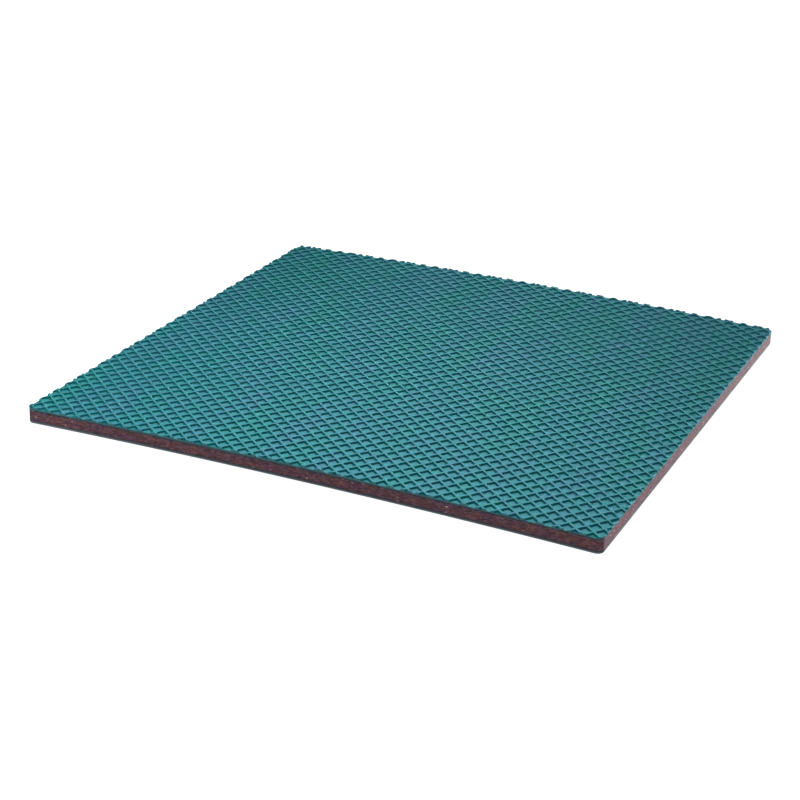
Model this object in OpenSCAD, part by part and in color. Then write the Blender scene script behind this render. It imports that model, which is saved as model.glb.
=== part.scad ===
// Square laminated rubber mat, lying flat. Millimetres.
// A ribbed rubber facing and a smooth one are glued to a thick core of bonded granulate.
// All four sides are raw cuts through the whole stack.
// The origin is the middle of the underside: X runs along the front edge, Y to the back edge, Z up.

/* [Outline] */
// Length of the front edge
mat_w = 500; // [200:10:600]
// Length from the front edge to the back edge
mat_d = 500; // [200:10:600]
// Radius of the four upright corners
corner_r = 6; // [1:0.5:15]

/* [Facings] */
// Thickness of the solid rubber web that carries the ribs of the upper facing
web_t = 1.2; // [0.5:0.1:3]
// Height of the moulded ribs above the web
rib_h = 1.3; // [0.3:0.1:2]
// Thickness of the smooth lower facing
lower_facing_t = 2.5; // [1:0.1:4]

/* [Core] */
// Thickness of the bonded granulate core
core_t = 8.5; // [3:0.5:25]
// Thickness of the adhesive film between the core and each facing
film_t = 0.25; // [0.1:0.05:0.5]

/* [Hidden] */
// The upper facing is drawn solid up to its rib tops: they are the plane that carries a load.
upper_facing_t = web_t + rib_h;

// Height of the underside of each layer above the lower facing, from the bottom up
bottom_film_z = lower_facing_t;
core_z = bottom_film_z + film_t;
top_film_z = core_z + core_t;
upper_facing_z = top_film_z + film_t;

$fn = 48;

// The outline shared by all layers, because the mat is cut through as one stack
module outline() {
    straight_w = mat_w - 2 * corner_r;
    straight_d = mat_d - 2 * corner_r;
    square([mat_w, straight_d], center = true);
    square([straight_w, mat_d], center = true);
    for (x = [-1, 1], y = [-1, 1])
        translate([x * straight_w / 2, y * straight_d / 2]) circle(r = corner_r);
}

// One flat layer of the stack
module layer(z, thickness) {
    translate([0, 0, z]) linear_extrude(thickness) outline();
}

// Upper facing: green-blue rubber with crossing ribs on its upper side
module top_facing() {
    color([0.23, 0.48, 0.51]) layer(upper_facing_z, upper_facing_t);
}

// Dark adhesive between the upper facing and the core
module top_bond_film() {
    color([0.16, 0.17, 0.18]) layer(top_film_z, film_t);
}

// Core of reddish brown bonded granulate, which shows on all four cut sides
module core() {
    color([0.45, 0.33, 0.33]) layer(core_z, core_t);
}

// Dark adhesive between the core and the lower facing
module bottom_bond_film() {
    color([0.16, 0.17, 0.18]) layer(bottom_film_z, film_t);
}

// Lower facing: a smooth sheet of the same rubber, which the mat lies on
module bottom_facing() {
    color([0.23, 0.3, 0.33]) layer(0, lower_facing_t);
}

top_facing();
top_bond_film();
core();
bottom_bond_film();
bottom_facing();
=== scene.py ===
"""Looks of a ribbed, laminated rubber mat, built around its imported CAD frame. Blender 4.5, metres."""
import math

import bmesh
import bpy
import numpy as np
from mathutils import Matrix, Vector, noise


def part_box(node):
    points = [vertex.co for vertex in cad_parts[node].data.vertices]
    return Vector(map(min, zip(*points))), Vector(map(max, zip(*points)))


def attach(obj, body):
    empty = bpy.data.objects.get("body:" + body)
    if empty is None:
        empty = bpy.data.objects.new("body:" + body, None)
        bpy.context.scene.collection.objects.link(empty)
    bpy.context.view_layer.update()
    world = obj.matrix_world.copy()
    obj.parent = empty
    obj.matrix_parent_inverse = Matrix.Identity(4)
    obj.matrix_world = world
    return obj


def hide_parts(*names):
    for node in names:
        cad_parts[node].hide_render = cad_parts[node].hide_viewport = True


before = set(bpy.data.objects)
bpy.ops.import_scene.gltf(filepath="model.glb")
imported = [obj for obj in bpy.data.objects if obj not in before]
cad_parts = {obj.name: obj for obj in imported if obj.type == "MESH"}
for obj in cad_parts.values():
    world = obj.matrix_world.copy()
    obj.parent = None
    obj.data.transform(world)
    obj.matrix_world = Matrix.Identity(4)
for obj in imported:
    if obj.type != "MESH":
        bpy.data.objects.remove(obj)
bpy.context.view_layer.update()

MM = 0.001

# ---------------------------------------------------------------- sizes taken from the frame
FACING_LOW, FACING_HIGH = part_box("top_facing")
CORE_LOW, CORE_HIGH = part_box("core")
LOWER_LOW, LOWER_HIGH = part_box("bottom_facing")
HALF_W = FACING_HIGH.x
HALF_D = FACING_HIGH.y
CORNER_R = 6 * MM
CORNER_CUTS = 6

# ---------------------------------------------------------------- ribs of the upper facing
# Two crossing families of straight ribs: heading of the line across them, pitch, and the first rib's place
RIB_FAMILIES = (
    {"across": math.radians(-31.41), "pitch": 10.23 * MM, "start": -0.205},
    {"across": math.radians(48.13), "pitch": 10.20 * MM, "start": 0.205},
)
# The sheet was pulled as it was moulded, so its ribs bow: shift along X and along Y with x², xy and y²
PULL_X = (2.3 * MM, -0.5 * MM, 0.1 * MM)
PULL_Y = (3.0 * MM, 6.4 * MM, 3.9 * MM)
RIB_HEIGHT = 1.3 * MM
# Half of a rib's cross-section: distance from its middle, and share of the height there
RIB_TOP = (0.85 * MM, 1.0)
RIB_SHOULDER = (1.07 * MM, 0.86)
RIB_FOOT = (1.35 * MM, 0.0)
EASED_EDGE = 0.15 * MM
# How much further than one pitch the sheet is built before it is cut, so that the pull leaves no gap
SHEET_MARGIN = 16 * MM

# ---------------------------------------------------------------- cut face of the core
# Granules are GRANULE_SIZE high, and wider than high, as GRANULE_SHAPE is below 1
GRANULE_SIZE = 1.5 * MM
GRANULE_SHAPE = 0.55
GRANULE_DEPTH = 0.06 * MM
GROOVE_DEPTH = 0.07 * MM

# ---------------------------------------------------------------- how the mat lies
# It isn't quite flat: it arches up between the left and right edges, and rests on two corners
ARCH_HEIGHT = 3.44 * MM
TWIST_HEIGHT = 0.71 * MM
CAP_STRIPS = 20
# The upper glue line is off its level by this much everywhere, at the front edge and at two opposite corners
GLUE_RISE = (0.08 * MM, 0.43 * MM, 0.33 * MM)
GLUE_SAG = 0.45 * MM

# ---------------------------------------------------------------- camera and studio
CAMERA_PLACE = (0.6275, -1.5251, 0.6643)
CAMERA_HEADING = math.radians(23.099)
CAMERA_DIP = math.radians(22.510)
CAMERA_ROLL = math.radians(2.472)
CAMERA_LENS = 90.27
WORLD_GLOW = 0.42
FLOOR_SIZE = 60
FLOOR_GAP = 0.2 * MM


def add_camera():
    """Camera at the photograph's viewing angle: heading is turned left from +Y, dip is below the horizon."""
    ahead = Vector((
        -math.sin(CAMERA_HEADING) * math.cos(CAMERA_DIP),
        math.cos(CAMERA_HEADING) * math.cos(CAMERA_DIP),
        -math.sin(CAMERA_DIP),
    ))
    level = Vector((math.cos(CAMERA_HEADING), math.sin(CAMERA_HEADING), 0))
    right = Matrix.Rotation(-CAMERA_ROLL, 3, ahead) @ level
    up = right.cross(ahead)
    turn = Matrix((right, up, -ahead)).transposed()
    data = bpy.data.cameras.new("camera")
    data.lens = CAMERA_LENS
    data.sensor_width = 36
    data.clip_start, data.clip_end = 0.05, 100
    camera = bpy.data.objects.new("camera", data)
    camera.matrix_world = Matrix.Translation(CAMERA_PLACE) @ turn.to_4x4()
    bpy.context.scene.collection.objects.link(camera)
    bpy.context.scene.camera = camera


def add_area_light(name, azimuth, elevation, distance, size, power, target=(0, 0, 0), beam=180):
    """Soft light aimed at target. Azimuth is counted from +X towards +Y, and beam is the full width.

    All angles are in degrees.
    """
    turn, lift = math.radians(azimuth), math.radians(elevation)
    toward = Vector((math.cos(turn) * math.cos(lift), math.sin(turn) * math.cos(lift), math.sin(lift)))
    data = bpy.data.lights.new(name, "AREA")
    data.shape = "RECTANGLE"
    data.size, data.size_y = size
    data.energy = power
    light = bpy.data.objects.new(name, data)
    data.spread = math.radians(beam)
    light.location = toward * distance
    light.rotation_mode = "QUATERNION"
    light.rotation_quaternion = (light.location - Vector(target)).to_track_quat("Z", "Y")
    bpy.context.scene.collection.objects.link(light)


def add_studio():
    """White surroundings, a pale glowing floor that hardly takes a shadow, and four lights.

    The two strong lights stand behind the mat, and the two weak ones at its left.
    """
    scene = bpy.context.scene
    scene.view_settings.view_transform = "Standard"
    scene.view_settings.look = "None"
    world = bpy.data.worlds.new("studio")
    world.use_nodes = True
    background = world.node_tree.nodes["Background"]
    background.inputs["Color"].default_value = (1, 1, 1, 1)
    background.inputs["Strength"].default_value = WORLD_GLOW
    scene.world = world

    add_area_light("key_back_left", azimuth=105, elevation=38, distance=2.3, size=(0.55, 0.55), power=5.3,
                   target=(0.07, -0.55, 0), beam=30)
    add_area_light("low_right", azimuth=60, elevation=3.5, distance=2.2, size=(0.4, 0.2), power=98)
    add_area_light("fill_front_left", azimuth=-105, elevation=23, distance=1.0, size=(0.3, 0.3), power=0.12,
                   target=(-0.33, -0.25, 0), beam=42)
    add_area_light("fill_left", azimuth=195, elevation=24, distance=1.0, size=(0.3, 0.3), power=0.12,
                   target=(-0.2, -0.2, 0), beam=46)

    bpy.ops.mesh.primitive_plane_add(size=FLOOR_SIZE, location=(0, 0, -FLOOR_GAP))
    floor = bpy.context.object
    floor.name = "floor"
    material = bpy.data.materials.new("pale_floor")
    material.use_nodes = True
    shader = material.node_tree.nodes["Principled BSDF"]
    shader.inputs["Base Color"].default_value = (0.25, 0.25, 0.25, 1)
    shader.inputs["Roughness"].default_value = 0.9
    shader.inputs["Specular IOR Level"].default_value = 0.0
    shader.inputs["Emission Color"].default_value = (1, 1, 1, 1)
    shader.inputs["Emission Strength"].default_value = 1.0
    floor.data.materials.append(material)


# ---------------------------------------------------------------- materials
def new_material(name):
    """New material with its nodes, links and shader."""
    material = bpy.data.materials.new(name)
    material.use_nodes = True
    nodes = material.node_tree.nodes
    return material, nodes, material.node_tree.links, nodes["Principled BSDF"]


def add_noise(nodes, links, place, size, detail=3.0, roughness=0.55):
    """Noise texture whose blobs are about as wide as size."""
    texture = nodes.new("ShaderNodeTexNoise")
    texture.inputs["Scale"].default_value = 1 / size
    texture.inputs["Detail"].default_value = detail
    texture.inputs["Roughness"].default_value = roughness
    links.new(place, texture.inputs["Vector"])
    return texture.outputs["Fac"]


def add_ramp(nodes, links, factor, stops):
    """Colour ramp through stops, a list of (position, colour)."""
    ramp = nodes.new("ShaderNodeValToRGB")
    ends = ramp.color_ramp.elements
    while len(ends) < len(stops):
        ends.new(0.5)
    for end, (position, colour) in zip(ends, stops):
        end.position = position
        end.color = (*colour, 1)
    links.new(factor, ramp.inputs["Fac"])
    return ramp.outputs["Color"]


def add_mix(nodes, links, factor, first, second, blend="MIX"):
    """Mix of two colours. The factor is a socket or a number, and each colour a socket or a tuple."""
    mix = nodes.new("ShaderNodeMix")
    mix.data_type = "RGBA"
    mix.blend_type = blend
    colour_inputs = [s for s in mix.inputs if s.type == "RGBA"]
    if isinstance(factor, float):
        mix.inputs["Factor"].default_value = factor
    else:
        links.new(factor, mix.inputs["Factor"])
    for socket, source in zip(colour_inputs, (first, second)):
        if isinstance(source, tuple):
            socket.default_value = (*source, 1)
        else:
            links.new(source, socket)
    return next(s for s in mix.outputs if s.type == "RGBA")


def add_range(nodes, links, value, low, high, from_low=0.0, from_high=1.0):
    """Value moved from the range from_low to from_high into the range low to high."""
    stretch = nodes.new("ShaderNodeMapRange")
    stretch.inputs["From Min"].default_value = from_low
    stretch.inputs["From Max"].default_value = from_high
    stretch.inputs["To Min"].default_value = low
    stretch.inputs["To Max"].default_value = high
    links.new(value, stretch.inputs["Value"])
    return stretch.outputs["Result"]


def add_bump(nodes, links, height, depth, strength=1.0, below=None):
    """Bump as deep as depth, on top of the bump below, if there is one."""
    bump = nodes.new("ShaderNodeBump")
    bump.inputs["Distance"].default_value = depth
    bump.inputs["Strength"].default_value = strength
    links.new(height, bump.inputs["Height"])
    if below is not None:
        links.new(below, bump.inputs["Normal"])
    return bump.outputs["Normal"]


def add_stretched(nodes, links, place, sizes):
    """Coordinates in which a pattern of size 1 is as wide, deep and high as sizes."""
    mapping = nodes.new("ShaderNodeMapping")
    mapping.inputs["Scale"].default_value = [1 / size for size in sizes]
    links.new(place, mapping.inputs["Vector"])
    return mapping.outputs["Vector"]


def facing_rubber(name):
    """Matt green-blue moulded rubber, streaked from green to blue along its roll, with painted shade that
    darkens its rib tops.
    """
    material, nodes, links, shader = new_material(name)
    place = nodes.new("ShaderNodeTexCoord").outputs["Object"]
    along_roll = add_stretched(nodes, links, place, (22 * MM, 120 * MM, 22 * MM))
    streaks = add_noise(nodes, links, along_roll, 1.0, detail=3)
    clouds = add_noise(nodes, links, place, 13 * MM, detail=3)
    grain = add_noise(nodes, links, place, 0.5 * MM, detail=2)
    hue = add_ramp(nodes, links, streaks, [
        (0.36, (0.005, 0.162, 0.176)),
        (0.50, (0.007, 0.155, 0.186)),
        (0.64, (0.013, 0.149, 0.197)),
    ])
    spots = add_ramp(nodes, links, clouds, [(0.36, (0.7, 1.03, 0.98)), (0.64, (1.4, 0.98, 1.03))])
    colour = add_mix(nodes, links, 1.0, hue, spots, "MULTIPLY")
    rib = nodes.new("ShaderNodeAttribute")
    rib.attribute_name = "rib"
    # Painted shade: the rib tops are tinted darker and slightly warmer than the pocket floors, standing in
    # for how the light falls on them.
    painted_rib_top_shade = add_ramp(nodes, links, rib.outputs["Fac"], [
        (0.70, (1.00, 0.97, 0.96)),
        (1.00, (1.02, 0.93, 0.92)),
    ])
    colour = add_mix(nodes, links, 1.0, colour, painted_rib_top_shade, "MULTIPLY")
    links.new(colour, shader.inputs["Base Color"])
    links.new(add_range(nodes, links, grain, 0.72, 0.86, 0.3, 0.7), shader.inputs["Roughness"])
    shader.inputs["Specular IOR Level"].default_value = 0.08
    pores = add_bump(nodes, links, grain, 0.05 * MM)
    waves = add_bump(nodes, links, clouds, 0.20 * MM, below=pores)
    links.new(waves, shader.inputs["Normal"])
    return material


def cut_rubber(name, dark, pale):
    """Cut edge of the facing rubber: greyer than its skin, more blue on rib ends, with fine drag marks."""
    material, nodes, links, shader = new_material(name)
    place = nodes.new("ShaderNodeTexCoord").outputs["Object"]
    clouds = add_noise(nodes, links, add_stretched(nodes, links, place, (8 * MM, 8 * MM, 1.5 * MM)), 1.0)
    drag = add_noise(nodes, links, add_stretched(nodes, links, place, (3 * MM, 3 * MM, 0.25 * MM)), 1.0)
    rib = nodes.new("ShaderNodeAttribute")
    rib.attribute_name = "rib"
    rib_ends = add_ramp(nodes, links, rib.outputs["Fac"], [(0.2, (1.0, 1.0, 1.0)), (1.0, (1.0, 1.45, 1.5))])
    colour = add_ramp(nodes, links, clouds, [(0.35, dark), (0.65, pale)])
    links.new(add_mix(nodes, links, 1.0, colour, rib_ends, "MULTIPLY"), shader.inputs["Base Color"])
    shader.inputs["Roughness"].default_value = 0.8
    shader.inputs["Specular IOR Level"].default_value = 0.12
    links.new(add_bump(nodes, links, drag, 0.06 * MM), shader.inputs["Normal"])
    return material


def granulate(name):
    """Cut face of bonded granulate: purple, maroon and rust zones, fine level streaks, a few pale crumbs."""
    material, nodes, links, shader = new_material(name)
    place = nodes.new("ShaderNodeTexCoord").outputs["Object"]
    cells = nodes.new("ShaderNodeTexVoronoi")
    cells.inputs["Scale"].default_value = 1.0
    links.new(add_stretched(nodes, links, place, (2.2 * MM, 2.2 * MM, 0.9 * MM)), cells.inputs["Vector"])
    tint = nodes.new("ShaderNodeSeparateColor")
    links.new(cells.outputs["Color"], tint.inputs["Color"])
    zone_place = add_stretched(nodes, links, place, (16 * MM, 16 * MM, 5 * MM))
    zones = add_noise(nodes, links, zone_place, 1.0, detail=3)
    streak_place = add_stretched(nodes, links, place, (5 * MM, 5 * MM, 0.9 * MM))
    streaks = add_noise(nodes, links, streak_place, 1.0, detail=4)
    hue = add_ramp(nodes, links, zones, [
        (0.34, (0.086, 0.042, 0.065)),
        (0.50, (0.099, 0.045, 0.056)),
        (0.66, (0.110, 0.048, 0.049)),
    ])
    granule = add_ramp(nodes, links, tint.outputs["Red"], [
        (0.00, (0.55, 0.59, 0.63)),
        (0.50, (1.00, 1.00, 1.00)),
        (0.94, (1.38, 1.43, 1.38)),
    ])
    colour = add_mix(nodes, links, 1.0, hue, granule, "MULTIPLY")
    shade = add_ramp(nodes, links, streaks, [(0.32, (0.66, 0.67, 0.68)), (0.68, (1.34, 1.33, 1.32))])
    colour = add_mix(nodes, links, 1.0, colour, shade, "MULTIPLY")
    level = nodes.new("ShaderNodeAttribute")
    level.attribute_name = "level"
    smear = add_ramp(nodes, links, level.outputs["Fac"], [
        (0.00, (0.90, 1.15, 1.20)),
        (0.12, (1.00, 1.00, 1.00)),
        (0.72, (1.00, 1.00, 1.00)),
        (1.00, (0.62, 1.10, 1.18)),
    ])
    colour = add_mix(nodes, links, 1.0, colour, smear, "MULTIPLY")
    crumb = add_range(nodes, links, tint.outputs["Green"], 0.0, 1.0, 0.992, 0.997)
    colour = add_mix(nodes, links, crumb, colour, (0.33, 0.26, 0.25))
    links.new(colour, shader.inputs["Base Color"])
    shader.inputs["Roughness"].default_value = 0.85
    shader.inputs["Specular IOR Level"].default_value = 0.13
    pits = add_bump(nodes, links, cells.outputs["Distance"], 0.25 * MM, strength=0.6)
    crumbs = add_bump(nodes, links, add_noise(nodes, links, place, 0.4 * MM), 0.12 * MM, below=pits)
    links.new(crumbs, shader.inputs["Normal"])
    return material


def adhesive(name, dark, pale):
    """Dull dark glue line with darker, glossier beads."""
    material, nodes, links, shader = new_material(name)
    place = nodes.new("ShaderNodeTexCoord").outputs["Object"]
    beads = add_noise(nodes, links, place, 4 * MM)
    colour = add_ramp(nodes, links, beads, [(0.35, dark), (0.7, pale)])
    links.new(colour, shader.inputs["Base Color"])
    links.new(add_range(nodes, links, beads, 0.45, 0.75), shader.inputs["Roughness"])
    links.new(add_bump(nodes, links, beads, 0.1 * MM), shader.inputs["Normal"])
    return material


def lower_rubber(name):
    """Dark grey-green rubber with the imprint of the cloth it was pressed against."""
    material, nodes, links, shader = new_material(name)
    place = nodes.new("ShaderNodeTexCoord").outputs["Object"]
    clouds = add_noise(nodes, links, place, 12 * MM, detail=4)
    colour = add_ramp(nodes, links, clouds, [(0.35, (0.022, 0.040, 0.048)), (0.68, (0.040, 0.062, 0.070))])
    links.new(colour, shader.inputs["Base Color"])
    links.new(add_range(nodes, links, clouds, 0.62, 0.80, 0.3, 0.7), shader.inputs["Roughness"])
    shader.inputs["Specular IOR Level"].default_value = 0.3
    surface = add_bump(nodes, links, clouds, 0.1 * MM)
    for direction in ("X", "Y"):
        thread = nodes.new("ShaderNodeTexWave")
        thread.bands_direction = direction
        thread.inputs["Scale"].default_value = 0.314 / (1.5 * MM)
        thread.inputs["Distortion"].default_value = 0.6
        links.new(place, thread.inputs["Vector"])
        surface = add_bump(nodes, links, thread.outputs["Fac"], 0.05 * MM, below=surface)
    links.new(surface, shader.inputs["Normal"])
    return material


# ---------------------------------------------------------------- outline shared by all layers
def outward(x, y):
    """Unit normal of the rounded outline at its nearest point to (x, y)."""
    inner_x = max(-(HALF_W - CORNER_R), min(HALF_W - CORNER_R, x))
    inner_y = max(-(HALF_D - CORNER_R), min(HALF_D - CORNER_R, y))
    return Vector((x - inner_x, y - inner_y, 0)).normalized()


def outline(step):
    """Points about a step apart along the rounded outline, anticlockwise, each with its outward normal."""
    straight_w, straight_d = HALF_W - CORNER_R, HALF_D - CORNER_R
    corners = (
        (straight_w, -straight_d, -90),
        (straight_w, straight_d, 0),
        (-straight_w, straight_d, 90),
        (-straight_w, -straight_d, 180),
    )
    arc_steps = max(CORNER_CUTS, round(CORNER_R * math.pi / 2 / step))
    found = []
    for index, (x, y, first) in enumerate(corners):
        for k in range(arc_steps + 1):
            angle = math.radians(first + 90 * k / arc_steps)
            normal = Vector((math.cos(angle), math.sin(angle), 0))
            found.append((Vector((x, y, 0)) + normal * CORNER_R, normal))
        next_x, next_y, _ = corners[(index + 1) % 4]
        start, normal = found[-1]
        end = Vector((next_x, next_y, 0)) + normal * CORNER_R
        steps = round((end - start).length / step)
        for k in range(1, steps):
            found.append((start.lerp(end, k / steps), normal))
    return found


# ---------------------------------------------------------------- geometry
def lift(x, y):
    """How far the mat is off the floor at (x, y)."""
    across, along = x / HALF_W, y / HALF_D
    return ARCH_HEIGHT * (1 - across ** 2) + TWIST_HEIGHT * (1 + across * along)


def glue_wander(x, y):
    """How far the upper glue line stands above its level at (x, y).

    It is highest at the front-right corner, lowest at the back-right one, and sags between corners.
    """
    across, along = x / HALF_W, y / HALF_D
    everywhere, front, corner = GLUE_RISE
    tilt = everywhere - front * along - corner * across * along
    return tilt - GLUE_SAG * (1 - across ** 2) * (1 - along)


def split_caps(bm, caps):
    """Cuts the given faces into strips that run from front to back, so that they can follow the arch."""
    for k in range(1, CAP_STRIPS):
        edges = {e for face in caps for e in face.edges}
        verts = {v for face in caps for v in face.verts}
        cut = bmesh.ops.bisect_plane(bm, geom=caps + list(edges) + list(verts), dist=1e-7,
                                     plane_co=(HALF_W * (2 * k / CAP_STRIPS - 1), 0, 0), plane_no=(1, 0, 0))
        caps = [g for g in cut["geom"] if isinstance(g, bmesh.types.BMFace)]


def mesh_object(name, bm, *materials):
    """Object from a bmesh that was built flat: it is bent to the mat's arch and shaded smoothly."""
    for v in bm.verts:
        v.co.z += lift(v.co.x, v.co.y)
    mesh = bpy.data.meshes.new(name)
    bm.to_mesh(mesh)
    bm.free()
    for material in materials:
        mesh.materials.append(material)
    mesh.shade_smooth()
    piece = bpy.data.objects.new(name, mesh)
    bpy.context.scene.collection.objects.link(piece)
    weighted = piece.modifiers.new("even_shading", "WEIGHTED_NORMAL")
    weighted.mode = "FACE_AREA"
    weighted.weight = 50
    return piece


def rib_stations(family):
    """Places across one rib family, in pitches, and the rib height there from 0 to 1.

    They reach past both ends of the mat.
    """
    pitch, across = family["pitch"], family["across"]
    reach = HALF_W * abs(math.cos(across)) + HALF_D * abs(math.sin(across))
    count = math.ceil(reach / pitch) + 2
    half = [(offset / pitch, height) for offset, height in (RIB_TOP, RIB_SHOULDER, RIB_FOOT)]
    section = [(-offset, height) for offset, height in reversed(half)] + half
    places = [(rib + offset, height) for rib in range(-count, count + 1) for offset, height in section]
    return np.array(places).T


def rib_sheet():
    """Open sheet of ribs and pockets that reaches past the outline.

    Its attribute "rib" runs from 0 in the pockets to 1 on the rib tops.
    """
    a, height_a = rib_stations(RIB_FAMILIES[0])
    b, height_b = rib_stations(RIB_FAMILIES[1])
    across = np.array([[math.cos(f["across"]), math.sin(f["across"])] for f in RIB_FAMILIES])
    pitch = np.array([f["pitch"] for f in RIB_FAMILIES])
    start = np.array([f["start"] for f in RIB_FAMILIES])
    grid = np.stack(np.meshgrid(a, b, indexing="ij"), -1)
    plan = ((grid - start) * pitch) @ np.linalg.inv(across).T
    rib = 1 - (1 - height_a[:, None]) * (1 - height_b[None, :])
    reach_w, reach_d = (HALF_W, HALF_D) + pitch + SHEET_MARGIN
    near = (abs(plan[..., 0]) < reach_w) & (abs(plan[..., 1]) < reach_d)
    index = -np.ones(near.shape, int)
    index[near] = np.arange(near.sum())
    corners = np.stack([index[:-1, :-1], index[1:, :-1], index[1:, 1:], index[:-1, 1:]], -1).reshape(-1, 4)
    faces = corners[(corners >= 0).all(1)]
    x, y = plan[near].T
    across_w, along_d = x / HALF_W, y / HALF_D
    terms = np.stack([across_w ** 2, across_w * along_d, along_d ** 2])
    x, y = x + PULL_X @ terms, y + PULL_Y @ terms
    z = FACING_HIGH.z - RIB_HEIGHT * (1 - rib[near])
    mesh = bpy.data.meshes.new("rib_sheet")
    mesh.from_pydata(np.stack([x, y, z], -1).tolist(), [], faces.tolist())
    mesh.attributes.new("rib", "FLOAT", "POINT").data.foreach_set("value", rib[near].astype(np.float32))
    bm = bmesh.new()
    bm.from_mesh(mesh)
    bpy.data.meshes.remove(mesh)
    return bm


def cut_to_outline(bm):
    """Cuts the sheet along the four sides and round the four corners."""
    for quarter in range(4):
        for k in range(CORNER_CUTS):
            angle = math.pi / 2 * (quarter + k / CORNER_CUTS)
            normal = Vector((math.cos(angle), math.sin(angle), 0))
            centre = Vector((math.copysign(HALF_W - CORNER_R, normal.x) if abs(normal.x) > 1e-6 else 0,
                             math.copysign(HALF_D - CORNER_R, normal.y) if abs(normal.y) > 1e-6 else 0, 0))
            everything = bm.verts[:] + bm.edges[:] + bm.faces[:]
            bmesh.ops.bisect_plane(bm, geom=everything, dist=1e-7, plane_co=centre + normal * CORNER_R,
                                   plane_no=normal, clear_outer=True)


def close_below(bm, low_z):
    """Turns the trimmed sheet into a solid: an eased upper edge, straight sides and a plain underside."""
    rim = [e for e in bm.edges if e.is_boundary]
    side = bmesh.ops.extrude_edge_only(bm, edges=rim)["geom"]
    ring = [g for g in side if isinstance(g, bmesh.types.BMVert)]
    rim_verts = {v for e in rim for v in e.verts}
    for v in rim_verts:
        v.co -= outward(v.co.x, v.co.y) * EASED_EDGE
    for v in ring:
        v.co.z -= EASED_EDGE
    edges = [g for g in side if isinstance(g, bmesh.types.BMEdge) and g.is_boundary]
    foot = bmesh.ops.extrude_edge_only(bm, edges=edges)["geom"]
    rib = bm.verts.layers.float["rib"]
    for v in foot:
        if isinstance(v, bmesh.types.BMVert):
            v.co.z = low_z + glue_wander(v.co.x, v.co.y)
            v[rib] = 0
    last = [g for g in foot if isinstance(g, bmesh.types.BMEdge) and g.is_boundary]
    underside = bmesh.ops.contextual_create(bm, geom=last)["faces"]
    for g in foot + underside:
        if isinstance(g, bmesh.types.BMFace):
            g.material_index = 1
    split_caps(bm, underside)
    bmesh.ops.recalc_face_normals(bm, faces=bm.faces)


def build_ribbed_facing():
    """Upper facing with its ribs and pockets cut through at the sides."""
    bm = rib_sheet()
    cut_to_outline(bm)
    close_below(bm, FACING_LOW.z)
    cut = cut_rubber("upper_cut", (0.034, 0.084, 0.096), (0.050, 0.106, 0.118))
    return mesh_object("ribbed_facing", bm, facing_rubber("facing_rubber"), cut)


def layer_solid(step, levels, relief):
    """Closed layer with a textured side.

    levels are (z, inset) from the bottom up, and relief(point) pushes the side out. The attribute
    "level" runs from 0 on the lowest ring to 1 on the highest.
    """
    bm = bmesh.new()
    share = bm.verts.layers.float.new("level")
    rings = []
    places = outline(step)
    for k, (z, inset) in enumerate(levels):
        ring = []
        for point, normal in places:
            at = point + Vector((0, 0, z))
            v = bm.verts.new(at + normal * (relief(at) - inset))
            v[share] = k / (len(levels) - 1)
            ring.append(v)
        rings.append(ring)
    for low, high in zip(rings, rings[1:]):
        for k in range(len(low)):
            n = (k + 1) % len(low)
            bm.faces.new((low[k], low[n], high[n], high[k]))
    split_caps(bm, [bm.faces.new(reversed(rings[0])), bm.faces.new(rings[-1])])
    return bm


def granule_relief(at):
    """How far the cut face stands out: granules sit proud or torn back, with grooves between them."""
    stretched = Vector((at.x * GRANULE_SHAPE, at.y * GRANULE_SHAPE, at.z)) / GRANULE_SIZE
    near, cells = noise.voronoi(stretched)
    proud = noise.cell(cells[0] * 7.3) * 0.5
    groove = min(1.0, (near[1] - near[0]) * 3)
    return GRANULE_DEPTH * (proud - 0.5) - GROOVE_DEPTH * (1 - groove)


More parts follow.
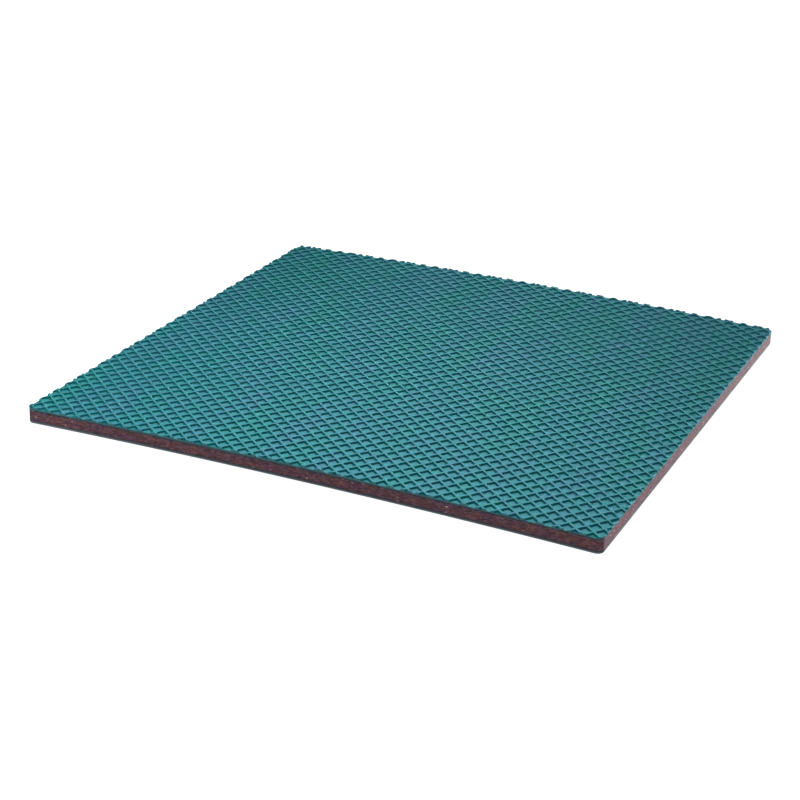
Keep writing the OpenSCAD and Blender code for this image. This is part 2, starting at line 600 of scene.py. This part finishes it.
def build_core():
    """Granulate core, whose upper face follows the upper glue line."""
    rows = 17
    levels = [(CORE_LOW.z + (CORE_HIGH.z - CORE_LOW.z) * k / rows, 0.05 * MM) for k in range(rows + 1)]
    bm = layer_solid(0.55 * MM, levels, granule_relief)
    for v in bm.verts:
        share = (v.co.z - CORE_LOW.z) / (CORE_HIGH.z - CORE_LOW.z)
        v.co.z += share * glue_wander(v.co.x, v.co.y)
    return mesh_object("granulate_core", bm, granulate("granulate"))


def build_bond_film(name, node, material, wander):
    """Squeezed-out glue line: it stands proud in places and falls short in others. wander(x, y) raises it."""
    low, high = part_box(node)
    thick = high.z - low.z
    inset = 0.06 * MM
    levels = [(low.z, inset), (low.z + thick * 0.3, 0), (low.z + thick * 0.7, 0), (high.z, inset)]
    bm = layer_solid(1.5 * MM, levels, lambda at: 0.10 * MM * noise.noise(at / (6 * MM)))
    for v in bm.verts:
        v.co.z += wander(v.co.x, v.co.y)
    return mesh_object(name, bm, material)


def build_lower_facing():
    """Smooth lower facing with its lower edge eased."""
    ease = 0.5 * MM
    levels = [
        (LOWER_LOW.z, ease * 2),
        (LOWER_LOW.z + ease * 0.3, ease * 0.6),
        (LOWER_LOW.z + ease, ease * 0.15),
        (LOWER_LOW.z + ease * 1.8, 0),
        (LOWER_HIGH.z, 0),
    ]
    bm = layer_solid(1.5 * MM, levels, lambda at: 0.04 * MM * noise.noise(at / (5 * MM)))
    for face in bm.faces:
        face.material_index = 1 if face.calc_center_median().z < LOWER_LOW.z + ease * 0.1 else 0
    cut = cut_rubber("lower_cut", (0.090, 0.105, 0.118), (0.116, 0.132, 0.145))
    return mesh_object("smooth_facing", bm, cut, lower_rubber("lower_rubber"))


def settle(piece, node):
    """Puts a finished piece in the CAD node's place."""
    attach(piece, "root")
    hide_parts(node)


add_camera()
add_studio()
upper_glue = adhesive("upper_adhesive", (0.026, 0.032, 0.040), (0.056, 0.058, 0.066))
lower_glue = adhesive("lower_adhesive", (0.050, 0.048, 0.056), (0.088, 0.080, 0.088))
settle(build_ribbed_facing(), "top_facing")
upper_line = build_bond_film("upper_glue_line", "top_bond_film", upper_glue, glue_wander)
settle(upper_line, "top_bond_film")
settle(build_core(), "core")
lower_line = build_bond_film("lower_glue_line", "bottom_bond_film", lower_glue, lambda x, y: 0)
settle(lower_line, "bottom_bond_film")
settle(build_lower_facing(), "bottom_facing")
